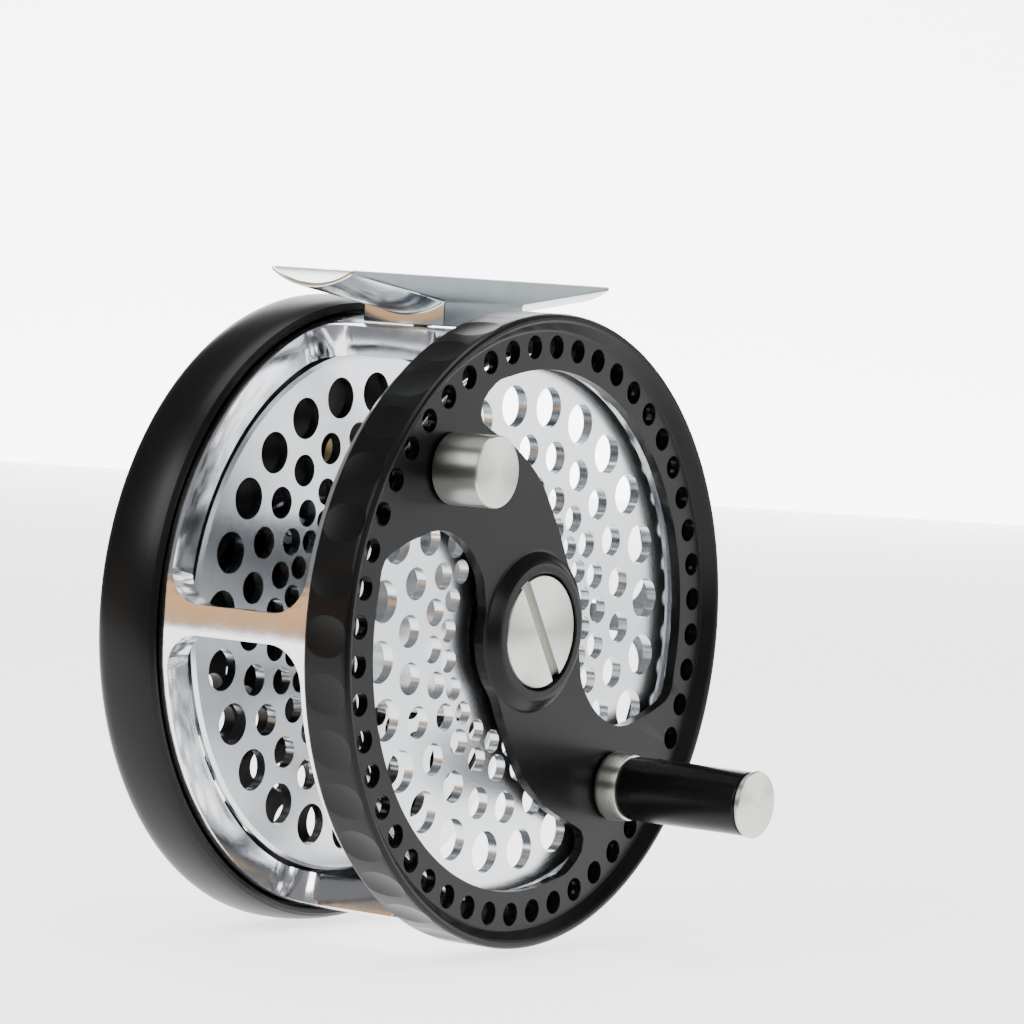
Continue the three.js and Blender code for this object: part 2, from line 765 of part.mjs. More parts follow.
add('reel_foot', reelFoot(), 'satinAluminium');
add('frame_cage', frameCage(), 'polishedAluminium');
add('back_plate', backPlateSolid(), 'blackAnodised');
for (const [name, angle] of Object.entries(plateScrew.angles)) {
  add(`back_plate_screw_${name}`, backPlateScrew(angle), 'stainlessSteel');
}
footScrew.x.forEach((x, i) => {
  add(`foot_screw_${['left', 'right'][i]}`, footScrewSolid(x), 'stainlessSteel');
});

add('spindle', spindleSolid(), 'stainlessSteel');
add('spool_screw', spoolScrewSolid(), 'stainlessSteel');
for (const [end, y] of [['front', bearing.frontY], ['rear', bearing.rearY]]) {
  const { boreR, outerR, raceThickness, width } = bearing;
  const inner = ring(boreR, boreR + raceThickness, y, y + width, 16);
  const balls = ring(boreR + raceThickness + GAP, outerR - raceThickness - GAP, y + 1, y + width - 1, 16);
  const outer = ring(outerR - raceThickness, outerR, y, y + width, 16);
  add(`${end}_bearing_inner_ring`, inner, 'stainlessSteel');
  add(`${end}_bearing_ball_cage`, balls, 'brass');
  add(`${end}_bearing_outer_ring`, outer, 'stainlessSteel');
}
const spacerFrontY = bearing.frontY + bearing.width + GAP;
const spacer = ring(bearing.outerR - 0.6, bearing.outerR, spacerFrontY, bearing.rearY - GAP, 16);
add('bearing_spacer', spacer, 'satinAluminium');

add('spool_arbor', spoolArbor(), 'satinAluminium');
add('front_flange', spoolFlange(flange.frontY, flange.frontPhase), 'satinAluminium');
add('rear_flange', spoolFlange(flange.rearY, flange.rearPhase), 'satinAluminium');
add('face_plate', facePlateSolid(), 'blackAnodised');
add('counterweight', counterweightSolid(), 'stainlessSteel', [counterweight.x, 0, counterweight.z]);
add('counterweight_screw', headedPin(weightScrew), 'stainlessSteel', [counterweight.x, 0, counterweight.z]);
add('handle_post', headedPin(handlePost), 'stainlessSteel', [handle.x, 0, handle.z]);
add('handle_collar', handleCollar(), 'stainlessSteel', [handle.x, 0, handle.z]);
add('handle_grip', handleGrip(), 'blackAnodised', [handle.x, 0, handle.z]);
const capGeometry = disc(handle.capR, handle.capY, handle.gripY - GAP, 18);
add('handle_end_cap', capGeometry, 'stainlessSteel', [handle.x, 0, handle.z]);

add('click_gear', clickGear(), 'brass');
add('one_way_clutch', ring(clutch.innerR, clutch.outerR, gear.frontY, gear.rearY, 20), 'stainlessSteel');
const { boreR: discBoreR, outerR: discOuterR, discY, discBackY } = dragStack;
add('drag_disc', ring(discBoreR, discOuterR, discY, discBackY, 20), 'cork');
add('drag_pressure_plate', pressurePlate(), 'brass');
add('drag_knob', dragKnob(), 'satinAluminium');

for (const [name, side] of [['left', -1], ['right', 1]]) {
  add(`click_pawl_${name}`, clickPawl(side), 'springSteel');
  add(`pawl_post_${name}`, pawlPost(side), 'stainlessSteel');
  add(`spring_rivet_${name}`, springRivet(side), 'copper');
  add(`click_spring_${name}`, clickSpring(side), 'springSteel');
}
add('selector_button', selectorButton(), 'polishedAluminium');
add('selector_cam', selectorCam(), 'brass');
const stopPinY = [stopPin.frontY, backPlate.faceY + stopPin.standsProud];
const stopPinGeometry = disc(stopPin.radius, ...stopPinY, 10);
add('selector_stop_pin', stopPinGeometry, 'stainlessSteel', [stopPin.x, 0, stopPin.z]);

reel.position.set(0, -foot.centreY, -seatZ);

const model = new THREE.Group();
model.add(reel);
export default model;
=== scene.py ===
# %% [markdown]
# # A fly reel in machined metal
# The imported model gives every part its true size, place and motion.
# This lesson keeps that frame still and remodels the parts that show, one at a time,
# with the fine rounds, holes and surface finishes that a machined reel has.

# %% Load the frame
import json
import math

import bpy
from mathutils import Matrix, Vector


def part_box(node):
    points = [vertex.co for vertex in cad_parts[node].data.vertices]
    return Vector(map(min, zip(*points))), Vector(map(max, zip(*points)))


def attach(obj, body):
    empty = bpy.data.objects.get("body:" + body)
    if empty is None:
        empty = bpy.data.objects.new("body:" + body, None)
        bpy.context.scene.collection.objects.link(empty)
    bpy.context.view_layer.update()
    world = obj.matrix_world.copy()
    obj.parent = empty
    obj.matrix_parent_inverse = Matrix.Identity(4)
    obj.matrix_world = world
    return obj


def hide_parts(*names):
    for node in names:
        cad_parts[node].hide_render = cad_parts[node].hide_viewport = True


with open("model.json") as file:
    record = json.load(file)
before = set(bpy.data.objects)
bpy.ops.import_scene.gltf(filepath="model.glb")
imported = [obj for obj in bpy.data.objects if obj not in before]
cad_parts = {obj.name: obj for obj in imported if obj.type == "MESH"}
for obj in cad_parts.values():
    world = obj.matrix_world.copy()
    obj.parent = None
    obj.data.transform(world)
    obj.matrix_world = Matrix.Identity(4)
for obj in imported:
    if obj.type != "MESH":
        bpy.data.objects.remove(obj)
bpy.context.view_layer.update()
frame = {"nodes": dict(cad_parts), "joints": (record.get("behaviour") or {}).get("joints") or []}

print("nodes in the frame:", len(frame["nodes"]))

# %% [markdown]
# ## The bench
# Small turned parts are easier to read in millimetres about their own axis, the way a machinist
# draws them. So pieces are modelled on a bench where one unit is a millimetre, Y is the spool axis
# and Y = 0 is the front of the holed ring. One matrix then carries each finished mesh into the
# frame, in metres, and leaves its object at the origin.

# %% Carry the bench to the frame
MM = 0.001
LIP_STANDS = 1.9
spool_axis = Vector(next(j["pos_m"] for j in frame["joints"] if j["name"] == "spool_spin"))
ring_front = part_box("face_plate")[0].y + LIP_STANDS * MM
bench = Matrix.Translation((spool_axis.x, ring_front, spool_axis.z)) @ Matrix.Scale(MM, 4)


def on_bench(node):
    """The lowest and highest corner of a CAD node, in bench millimetres."""
    low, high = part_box(node)
    return bench.inverted() @ low, bench.inverted() @ high


print("spool axis at", tuple(round(v, 4) for v in spool_axis), "ring front at y", round(ring_front, 4))

# %% [markdown]
# ## The camera
# The reel is seen from its front left, a little above its axis, through a long lens that keeps the
# two rims nearly parallel. The camera comes before the pieces, because all of them are judged
# through it.

# %% Place the camera
CAMERA_PLACE = Vector((-0.5651, -0.4213, 0.0003))
CAMERA_AZIMUTH, CAMERA_ELEVATION, CAMERA_ROLL = (math.radians(a) for a in (-54.27, 2.64, 3.6))
FOCAL_LENGTH = 166.6

back = Vector((
    math.sin(CAMERA_AZIMUTH) * math.cos(CAMERA_ELEVATION),
    -math.cos(CAMERA_AZIMUTH) * math.cos(CAMERA_ELEVATION),
    math.sin(CAMERA_ELEVATION),
))
right = Vector((math.cos(CAMERA_AZIMUTH), math.sin(CAMERA_AZIMUTH), 0))
up = back.cross(right)
rolled_right = math.cos(CAMERA_ROLL) * right + math.sin(CAMERA_ROLL) * up
rolled_up = math.cos(CAMERA_ROLL) * up - math.sin(CAMERA_ROLL) * right

lens = bpy.data.cameras.new("camera")
lens.lens = FOCAL_LENGTH
lens.sensor_width = 36
lens.clip_start = 0.01
camera = bpy.data.objects.new("camera", lens)
bpy.context.scene.collection.objects.link(camera)
facing = Matrix((rolled_right, rolled_up, back)).transposed().to_4x4()
camera.matrix_world = Matrix.Translation(CAMERA_PLACE) @ facing
bpy.context.scene.camera = camera
print("camera", round(CAMERA_PLACE.length, 3), "m from the foot")

# %% [markdown]
# ## Colours and nodes
# Colours are picked as sRGB hex values, as a paint chart gives them, and one function makes them
# linear. Another adds a shader node with its settings and its links, so that each material below
# reads as a short list of what its surface is.

# %% Helpers for materials


def linear(hex_colour):
    """A hex colour such as "9a9a9a" as linear red, green, blue and alpha."""
    parts = [int(hex_colour[i:i + 2], 16) / 255 for i in (0, 2, 4)]
    return [p / 12.92 if p <= 0.04045 else ((p + 0.055) / 1.055) ** 2.4 for p in parts] + [1]


def node(material, kind, links=None, **settings):
    """Adds a node. Settings are attributes, or input sockets where no attribute has that name."""
    made = material.node_tree.nodes.new("ShaderNode" + kind)
    for key, value in settings.items():
        if hasattr(made, key):
            setattr(made, key, value)
        else:
            made.inputs[key.replace("_", " ")].default_value = value
    for socket, source in (links or {}).items():
        material.node_tree.links.new(source, made.inputs[socket])
    return made


def new_material(name, colour, roughness, metallic):
    """A material with one principled shader, and that shader."""
    material = bpy.data.materials.new(name)
    material.use_nodes = True
    shader = material.node_tree.nodes["Principled BSDF"]
    shader.inputs["Base Color"].default_value = linear(colour)
    shader.inputs["Roughness"].default_value = roughness
    shader.inputs["Metallic"].default_value = metallic
    return material, shader


def connect(material, source, shader, socket):
    material.node_tree.links.new(source, shader.inputs[socket])


def bench_point(material, centre):
    """Object coordinates in millimetres from a point given in bench millimetres."""
    coordinates = node(material, "TexCoord")
    place = bench @ Vector(centre)
    mapping = node(material, "Mapping", {"Vector": coordinates.outputs["Object"]}, vector_type="TEXTURE")
    mapping.inputs["Location"].default_value = place
    mapping.inputs["Scale"].default_value = (MM, MM, MM)
    return mapping.outputs["Vector"]


print("colours and nodes ready")

# %% [markdown]
# ## Finishes
# Most of a reel is 6061 aluminium. It is turned, then either blasted and anodised black, or
# polished and anodised clear. A lathe leaves fine rings round its axis, so the turned finishes
# read the distance from that axis and let noise vary along it. That is drawn at a few rings to
# the millimetre, coarser than real tool marks, so that it shows.

# %% Make the finishes


def ring_noise(material, centre, rings_per_mm, detail=2.0):
    """Noise that changes with the distance from a centre line along Y and hardly at all round it."""
    point = bench_point(material, centre)
    split = node(material, "SeparateXYZ", {"Vector": point})
    flat = node(material, "CombineXYZ", {"X": split.outputs["X"], "Y": split.outputs["Z"]})
    radius = node(material, "VectorMath", {0: flat.outputs["Vector"]}, operation="LENGTH")
    stretched = node(material, "CombineXYZ", {"X": radius.outputs["Value"], "Y": split.outputs["Y"]})
    return node(
        material, "TexNoise", {"Vector": stretched.outputs["Vector"]},
        Scale=rings_per_mm, Detail=detail, Roughness=0.6,
    )


def spread(material, source, low, high):
    """Maps a zero to one value on to low to high."""
    made = node(material, "MapRange", {"Value": source})
    made.inputs["To Min"].default_value = low
    made.inputs["To Max"].default_value = high
    return made.outputs["Result"]


def turned_metal(
        name, colour, roughness, centre=(0, 0, 0), rings_per_mm=4, depth=0.12, spread_by=0.08, drawn=0):
    """Metal with the fine rings of a lathe tool; drawn is how far they stretch a highlight."""
    material, shader = new_material(name, colour, roughness, 1)
    if drawn:
        along = node(material, "Tangent", direction_type="RADIAL", axis="Y")
        connect(material, along.outputs["Tangent"], shader, "Tangent")
        shader.inputs["Anisotropic"].default_value = drawn
        shader.inputs["Anisotropic Rotation"].default_value = 0.25
    rings = ring_noise(material, centre, rings_per_mm)
    gloss = spread(material, rings.outputs["Fac"], roughness - spread_by, roughness + spread_by)
    connect(material, gloss, shader, "Roughness")
    bump = node(material, "Bump", {"Height": rings.outputs["Fac"]}, Strength=depth, Distance=0.00002)
    connect(material, bump.outputs["Normal"], shader, "Normal")
    return material


def anodised_black(name, colour, roughness):
    """Black dyed oxide over blasted aluminium: a fine grain and a soft, slightly uneven gloss."""
    material, shader = new_material(name, colour, roughness, 0)
    shader.inputs["IOR"].default_value = 1.45
    shader.inputs["Specular IOR Level"].default_value = 0.17
    point = bench_point(material, (0, 0, 0))
    grain = node(material, "TexNoise", {"Vector": point}, Scale=9, Detail=3)
    cloud = node(material, "TexNoise", {"Vector": point}, Scale=0.12, Detail=2)
    gloss = spread(material, cloud.outputs["Fac"], roughness - 0.05, roughness + 0.06)
    connect(material, gloss, shader, "Roughness")
    bump = node(material, "Bump", {"Height": grain.outputs["Fac"]}, Strength=0.1, Distance=0.00002)
    connect(material, bump.outputs["Normal"], shader, "Normal")
    return material


def polished_metal(name, colour, roughness):
    """Polished aluminium under clear anodising, with the faint unevenness of hand polishing."""
    material, shader = new_material(name, colour, roughness, 1)
    point = bench_point(material, (0, 0, 0))
    smear = node(material, "TexNoise", {"Vector": point}, Scale=0.35, Detail=4)
    gloss = spread(material, smear.outputs["Fac"], roughness - 0.05, roughness + 0.07)
    connect(material, gloss, shader, "Roughness")
    bump = node(material, "Bump", {"Height": smear.outputs["Fac"]}, Strength=0.06, Distance=0.0002)
    connect(material, bump.outputs["Normal"], shader, "Normal")
    return material


def cork_board(name):
    """Pressed cork: brown grains of about half a millimetre."""
    material, shader = new_material(name, "a0764a", 0.85, 0)
    grains = node(material, "TexVoronoi", {"Vector": bench_point(material, (0, 0, 0))}, Scale=2)
    ramp = node(material, "ValToRGB", {"Fac": grains.outputs["Distance"]})
    ramp.color_ramp.elements[0].color = linear("b58a5a")
    ramp.color_ramp.elements[1].color = linear("7a5432")
    connect(material, ramp.outputs["Color"], shader, "Base Color")
    return material


handle_low, handle_high = on_bench("handle_grip")
handle_centre = (handle_low + handle_high) / 2
weight_low, weight_high = on_bench("counterweight")
weight_centre = (weight_low + weight_high) / 2

finishes = {
    "black": anodised_black("black_anodised_aluminium", "080809", 0.3),
    "grip": anodised_black("black_anodised_grip", "0a0a0b", 0.26),
    "cage": polished_metal("polished_clear_anodised_aluminium", "dcdde0", 0.11),
    "foot": polished_metal("satin_clear_anodised_aluminium", "c9ced1", 0.16),
    # A darker copy of the foot's aluminium for its flat sides: the darker colour is painted shade, and the
    # higher roughness is a rougher surface.
    "painted_shade_foot_side": polished_metal("clear_anodised_aluminium_with_painted_shade", "757c80", 0.36),
    "spool": turned_metal(
        "turned_clear_anodised_aluminium", "ced1d4", 0.24, rings_per_mm=3, depth=0.08, spread_by=0.05),
    "screw": turned_metal(
        "turned_stainless_steel_screw", "b3b3ac", 0.3, rings_per_mm=5, depth=0.06, drawn=0.75),
    "weight": turned_metal(
        "turned_stainless_steel_weight", "b3b3ac", 0.32, tuple(weight_centre), 5, 0.06, drawn=0.75),
    "handle": turned_metal(
        "turned_stainless_steel_handle", "b8b8b0", 0.3, tuple(handle_centre), 5, 0.06, drawn=0.75),
    "knob": turned_metal("turned_aluminium_knob", "cbccce", 0.3, rings_per_mm=6, depth=0.1, drawn=0.5),
    "steel": polished_metal("machined_stainless_steel", "a8a6a1", 0.28),
    "spring": polished_metal("blued_spring_steel", "6c7076", 0.3),
    "brass": polished_metal("machined_brass", "9a8a62", 0.34),
    "copper": polished_metal("copper", "b8714e", 0.32),
    "cork": cork_board("pressed_cork"),
}
print("finishes:", ", ".join(finishes))

# %% [markdown]
# ## Making turned parts
# A turned part is one profile swept round an axis. By hand it is a circle that is extruded and
# resized from one profile point to the next. A bored part ends where it began and its two ends
# are merged, and a solid one is capped at both ends.

# %% Helpers for modelling


def deselect():
    """Leaves edit mode and deselects everything, so that an operator acts only on what comes next."""
    if bpy.context.object and bpy.context.object.mode != "OBJECT":
        bpy.ops.object.mode_set(mode="OBJECT")
    bpy.ops.object.select_all(action="DESELECT")


def only(piece):
    """Selects one piece and makes it active."""
    deselect()
    piece.select_set(True)
    bpy.context.view_layer.objects.active = piece


def turn(name, profile, steps=96, bored=True, centre=(0, 0)):
    """Turns (radius, y) points about the line along Y through centre, given as (x, z)."""
    deselect()
    radius, y = profile[0]
    bpy.ops.mesh.primitive_circle_add(
        vertices=steps, radius=radius, location=(centre[0], y, centre[1]), rotation=(math.pi / 2, 0, 0))
    piece = bpy.context.object
    piece.name = name
    bpy.ops.object.transform_apply()
    bpy.ops.object.mode_set(mode="EDIT")
    bpy.ops.mesh.select_mode(type="VERT")
    bpy.ops.mesh.select_all(action="SELECT")
    if not bored:
        bpy.ops.mesh.edge_face_add()
    for next_radius, next_y in profile[1:] + (profile[:1] if bored else []):
        bpy.ops.mesh.extrude_region_move(TRANSFORM_OT_translate={"value": (0, next_y - y, 0)})
        if next_radius != radius:
            grow = next_radius / radius
            bpy.ops.transform.resize(value=(grow, 1, grow), center_override=(centre[0], next_y, centre[1]))
        radius, y = next_radius, next_y
    bpy.ops.mesh.select_all(action="SELECT")
    if bored:
        bpy.ops.mesh.remove_doubles(threshold=0.001)
    bpy.ops.mesh.normals_make_consistent(inside=False)
    bpy.ops.object.mode_set(mode="OBJECT")
    return piece


def apply_modifier(piece, kind, **settings):
    """Adds a modifier, sets it and applies it."""
    only(piece)
    modifier = piece.modifiers.new(kind.lower(), kind)
    for key, value in settings.items():
        setattr(modifier, key, value)
    bpy.ops.object.modifier_apply(modifier=modifier.name)


def combine(piece, tool, operation="DIFFERENCE"):
    """Cuts a tool out of a piece, or joins them, and removes the tool."""
    apply_modifier(piece, "BOOLEAN", operation=operation, object=tool, solver="EXACT")
    bpy.data.objects.remove(tool)


def soften(piece, width, segments=2, angle=35):
    """Merges coplanar faces, then rounds every edge that is sharper than the angle."""
    apply_modifier(piece, "DECIMATE", decimate_type="DISSOLVE", angle_limit=math.radians(0.3))
    apply_modifier(
        piece, "BEVEL", width=width, segments=segments, limit_method="ANGLE",
        angle_limit=math.radians(angle), miter_outer="MITER_ARC")


def drills(places, y0, y1):
    """One tool with a round bar through each (x, z, radius, sides) place."""
    deselect()
    tool = None
    for x, z, radius, sides in places:
        bpy.ops.mesh.primitive_cylinder_add(
            vertices=sides, radius=radius, depth=y1 - y0,
            location=(x, (y0 + y1) / 2, z), rotation=(math.pi / 2, 0, 0))
        if tool is None:
            tool = bpy.context.object
            tool.name = "drills"
            bpy.ops.object.transform_apply()
            bpy.ops.object.mode_set(mode="EDIT")
    bpy.ops.object.mode_set(mode="OBJECT")
    return tool


def block(x, y, z):
    """A block between pairs of limits."""
    deselect()
    bpy.ops.mesh.primitive_cube_add(size=1)
    made = bpy.context.object
    made.scale = (x[1] - x[0], y[1] - y[0], z[1] - z[0])
    made.location = ((x[0] + x[1]) / 2, (y[0] + y[1]) / 2, (z[0] + z[1]) / 2)
    bpy.ops.object.transform_apply()
    return made


def clock(radius, degrees):
    """X and Z of a point, with angles clockwise from twelve, seen from the handle side."""
    return radius * math.sin(math.radians(degrees)), radius * math.cos(math.radians(degrees))


def finish_piece(piece, finish, body, slot, *nodes, flat_angle=20):
    """Shades a piece, carries it from the bench to the frame, puts it under its body and hides the frame's
    parts that it replaces.
    """
    only(piece)
    bpy.ops.object.shade_smooth_by_angle(angle=math.radians(flat_angle))
    piece.data.transform(bench)
    piece.data.materials.clear()
    piece.data.materials.append(finishes[finish])
    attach(piece, body)
    if nodes:
        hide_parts(*nodes)
    print(f"{piece.name}: {len(piece.data.polygons)} faces")


def pick(piece, mode, test):
    """Enters edit mode and selects the faces whose centre and normal pass a test, or edges by their ends."""
    only(piece)
    bpy.ops.object.mode_set(mode="EDIT")
    bpy.ops.mesh.select_mode(type=mode)
    bpy.ops.mesh.select_all(action="DESELECT")
    bpy.ops.object.mode_set(mode="OBJECT")
    mesh = piece.data
    if mode == "FACE":
        for face in mesh.polygons:
            face.select = test(face.center, face.normal)
    else:
        for edge in mesh.edges:
            a, b = (mesh.vertices[v].co for v in edge.vertices)
            edge.select = test(a, b)
    bpy.ops.object.mode_set(mode="EDIT")


def copies_about_axis(piece, count, step):
    """Repeats a piece's mesh about the spool axis, into the same mesh."""
    pick(piece, "FACE", lambda centre, normal: True)
    bpy.ops.mesh.spin(
        steps=count - 1, angle=math.radians(step * (count - 1)), center=(0, 0, 0), axis=(0, 1, 0), dupli=True)
    bpy.ops.object.mode_set(mode="OBJECT")


def outline_block(name, points, y0, y1):
    """A closed outline of (x, z) points, drawn as a smooth curve and made thick from y0 to y1."""
    deselect()
    curve = bpy.data.curves.new(name, "CURVE")
    curve.dimensions = "2D"
    curve.fill_mode = "BOTH"
    curve.extrude = (y1 - y0) / 2
    spline = curve.splines.new("BEZIER")
    spline.bezier_points.add(len(points) - 1)
    spline.use_cyclic_u = True
    spline.resolution_u = 3
    for knot, (x, z) in zip(spline.bezier_points, points):
        knot.co = (x, z, 0)
        knot.handle_left_type = knot.handle_right_type = "AUTO"
    drawn = bpy.data.objects.new(name, curve)
    bpy.context.scene.collection.objects.link(drawn)
    drawn.rotation_euler = (math.pi / 2, 0, 0)
    drawn.location = (0, (y0 + y1) / 2, 0)
    only(drawn)
    bpy.ops.object.convert(target="MESH")
    bpy.ops.object.transform_apply()
    bpy.ops.object.mode_set(mode="EDIT")
    bpy.ops.mesh.select_all(action="SELECT")
    bpy.ops.mesh.remove_doubles(threshold=0.001)
    bpy.ops.mesh.normals_make_consistent(inside=False)
    bpy.ops.object.mode_set(mode="OBJECT")
    return drawn


def join_tools(tools):
    """One object from several."""
    only(tools[0])
    for tool in tools:
        tool.select_set(True)
    bpy.ops.object.join()
    return tools[0]


# %% [markdown]
# ## The foot
# The foot clamps under the sliding hoods of a rod's reel seat. It is milled from bar: a shallow
# channel on top fits round the rod, and a round underside runs out to thin crescent ends. A
# pedestal under its middle is screwed to the cage. The section is drawn once, pushed out to
# the pedestal's length, and its ends are pushed on to the tips while the underside rises.

# %% Foot
FOOT_HALF_LENGTH, FOOT_HALF_WIDTH, SEAT_Z, FOOT_SAG = 32.1, 7.4, 48.9, 2.2
FOOT_ROOT, FOOT_TIP, FOOT_Y = 3.7, 0.65, 20
PEDESTAL_HALF, PEDESTAL_BOTTOM = 9.8, 43.7
channel_radius = (FOOT_HALF_WIDTH ** 2 + FOOT_SAG ** 2) / (2 * FOOT_SAG)
half_angle = math.asin(FOOT_HALF_WIDTH / channel_radius)
STRIPS = 40

deselect()
bpy.ops.mesh.primitive_grid_add(x_subdivisions=1, y_subdivisions=STRIPS, size=2)
foot = bpy.context.object
foot.name = "foot"
for vertex in foot.data.vertices:
    turn_by = half_angle * vertex.co.y
    vertex.co = (
        vertex.co.x * PEDESTAL_HALF,
        FOOT_Y + channel_radius * math.sin(turn_by),
        SEAT_Z + channel_radius * (1 - math.cos(turn_by)),
    )
bpy.ops.object.mode_set(mode="EDIT")
bpy.ops.mesh.select_all(action="SELECT")
bpy.ops.mesh.extrude_region_move(TRANSFORM_OT_translate={"value": (0, 0, -FOOT_ROOT)})
bpy.ops.mesh.select_all(action="SELECT")
bpy.ops.mesh.normals_make_consistent(inside=False)
for side in (-1, 1):
    pick(foot, "FACE", lambda centre, normal: normal.x * side > 0.9)
    bpy.ops.mesh.extrude_region_move(
        TRANSFORM_OT_translate={"value": (side * (FOOT_HALF_LENGTH - PEDESTAL_HALF), 0, 0)})
    bpy.ops.object.mode_set(mode="OBJECT")
    for vertex in foot.data.vertices:
        turn_by = math.asin(min(1, max(-1, (vertex.co.y - FOOT_Y) / channel_radius)))
        floor_z = SEAT_Z + channel_radius * (1 - math.cos(turn_by))
        if vertex.co.x * side > FOOT_HALF_LENGTH - 0.01 and vertex.co.z < floor_z - 1:
            vertex.co.z = floor_z - FOOT_TIP
pedestal = block(
    (-PEDESTAL_HALF, PEDESTAL_HALF), (FOOT_Y - FOOT_HALF_WIDTH, FOOT_Y + FOOT_HALF_WIDTH),
    (PEDESTAL_BOTTOM, SEAT_Z + FOOT_SAG - FOOT_ROOT))
combine(foot, pedestal, "UNION")
combine(foot, join_tools([
    block((x - 1.4, x + 1.4), (FOOT_Y - 1.4, FOOT_Y + 1.4), (PEDESTAL_BOTTOM - 1, 46.3))
    for x in (-5.5, 5.5)]))
soften(foot, 0.18, 2)
finish_piece(foot, "foot", "root", "satin_aluminium", "reel_foot")
# The flat side faces take the darker copy, which is painted shade on the sides of the one aluminium foot.
foot.data.materials.append(finishes["painted_shade_foot_side"])
for face in foot.data.polygons:
    if abs(face.normal.y) > 0.99:
        face.material_index = 1

# %% [markdown]
# ## The cage
# The cage is one ring of aluminium with four long windows milled through its wall, which leave a
# bar each side and wider ones above and below. Where the line and fingers pass, the ring edges
# of the windows are rolled over to a wide bright bead. The bars only have their corners broken,
# so the bevel is weighted: full on the edges that run round the ring, slight on the bars.

# %% Cage
CAGE_INNER, CAGE_OUTER, CAGE_FRONT, CAGE_REAR = 40.2, 44.8, 2.2, 36.5
WINDOW_FRONT, WINDOW_REAR, WINDOW_CORNER = 8, 32.4, 5.5
WIDE_BAR_HALF_ANGLE = 16.5
SIDE_BAR_HALF_ANGLE = math.degrees(2.2 / CAGE_OUTER)
BEAD, BROKEN_EDGE = 1.5, 0.3
CORNER_STEPS = 10

cage = turn("cage", [
    (CAGE_INNER, CAGE_FRONT + 0.4), (CAGE_INNER + 0.4, CAGE_FRONT), (CAGE_OUTER - 0.8, CAGE_FRONT),
    (CAGE_OUTER - 0.25, CAGE_FRONT + 0.25), (CAGE_OUTER, CAGE_FRONT + 0.8),
    (CAGE_OUTER, CAGE_REAR), (CAGE_INNER, CAGE_REAR)], steps=180)


def window_tool(start, end):
    """A block through the wall from one clock angle to another, with round corners."""
    inner, outer = CAGE_INNER - 2, CAGE_OUTER + 2
    deselect()
    bpy.ops.mesh.primitive_plane_add(size=1)
    tool = bpy.context.object
    for vertex, (radius, y) in zip(tool.data.vertices, (
            (inner, WINDOW_FRONT), (outer, WINDOW_FRONT), (inner, WINDOW_REAR), (outer, WINDOW_REAR))):
        x, z = clock(radius, start)
        vertex.co = (x, y, z)
    corner_angle = math.degrees(WINDOW_CORNER / CAGE_OUTER)
    straight = end - start - 2 * corner_angle
    middle_steps = round(straight / 2)
    steps = 2 * CORNER_STEPS + middle_steps
    bpy.ops.object.mode_set(mode="EDIT")
    bpy.ops.mesh.select_all(action="SELECT")
    bpy.ops.mesh.spin(steps=steps, angle=-math.radians(end - start), center=(0, 0, 0), axis=(0, 1, 0))
    bpy.ops.object.mode_set(mode="OBJECT")
    for vertex in tool.data.vertices:
        radius = math.hypot(vertex.co.x, vertex.co.z)
        swept = (math.degrees(math.atan2(vertex.co.x, vertex.co.z)) - start + 1) % 360 - 1
        station = round(swept / (end - start) * steps)
        from_end = min(station, steps - station)
        if from_end >= CORNER_STEPS:
            angle = start + corner_angle + straight * (station - CORNER_STEPS) / middle_steps
            inset = 0
        else:
            turn_by = from_end / CORNER_STEPS * math.pi / 2
            reach = corner_angle * (1 - math.cos(turn_by))
            angle = start + reach if station < CORNER_STEPS else end - reach
            inset = WINDOW_CORNER * (1 - math.sin(turn_by))
        x, z = clock(radius, angle)
        front = vertex.co.y < FOOT_Y
        vertex.co = (x, WINDOW_FRONT + inset if front else WINDOW_REAR - inset, z)
    only(tool)
    bpy.ops.object.mode_set(mode="EDIT")
    bpy.ops.mesh.select_all(action="SELECT")
    bpy.ops.mesh.normals_make_consistent(inside=False)
    bpy.ops.object.mode_set(mode="OBJECT")
    return tool


windows = []
for base in (0, 180):
    windows.append(window_tool(base + WIDE_BAR_HALF_ANGLE, base + 90 - SIDE_BAR_HALF_ANGLE))
    windows.append(window_tool(base + 90 + SIDE_BAR_HALF_ANGLE, base + 180 - WIDE_BAR_HALF_ANGLE))
combine(cage, join_tools(windows))

only(cage)
weights = cage.data.attributes.new("bevel_weight_edge", "FLOAT", "EDGE")
normals = {}
for face in cage.data.polygons:
    for key in face.edge_keys:
        normals.setdefault(key, []).append(face.normal)
for edge in cage.data.edges:
    a, b = (cage.data.vertices[v].co for v in edge.vertices)
    middle = (a + b) / 2
    touching = normals[tuple(sorted(edge.vertices))]
    sharp = len(touching) == 2 and touching[0].angle(touching[1]) > math.radians(60)
    in_window = WINDOW_FRONT - 0.1 < middle.y < WINDOW_REAR + 0.1
    if sharp and in_window:
        to_ring = min(middle.y - WINDOW_FRONT, WINDOW_REAR - middle.y)
        fade = min(1, max(0, 1 - to_ring / WINDOW_CORNER))
        weights.data[edge.index].value = BROKEN_EDGE / BEAD + (1 - BROKEN_EDGE / BEAD) * fade ** 0.7
apply_modifier(cage, "BEVEL", width=BEAD, segments=5, limit_method="WEIGHT", loop_slide=False)
combine(cage, block((-CAGE_OUTER, CAGE_OUTER), (FOOT_Y - 11.15, FOOT_Y + 11.15), (43.4, CAGE_OUTER + 1)))
finish_piece(cage, "cage", "root", "polished_aluminium", "frame_cage")

# %% [markdown]
# ## The back plate
# A shallow black cup closes the back of the cage and carries the drag and the click work. Its
# rim is turned to a full round with a thin raised lip. Three curved rows of holes lighten its
# lower half. Four slotted screws hold it, each in a counterbore just inside the lip.

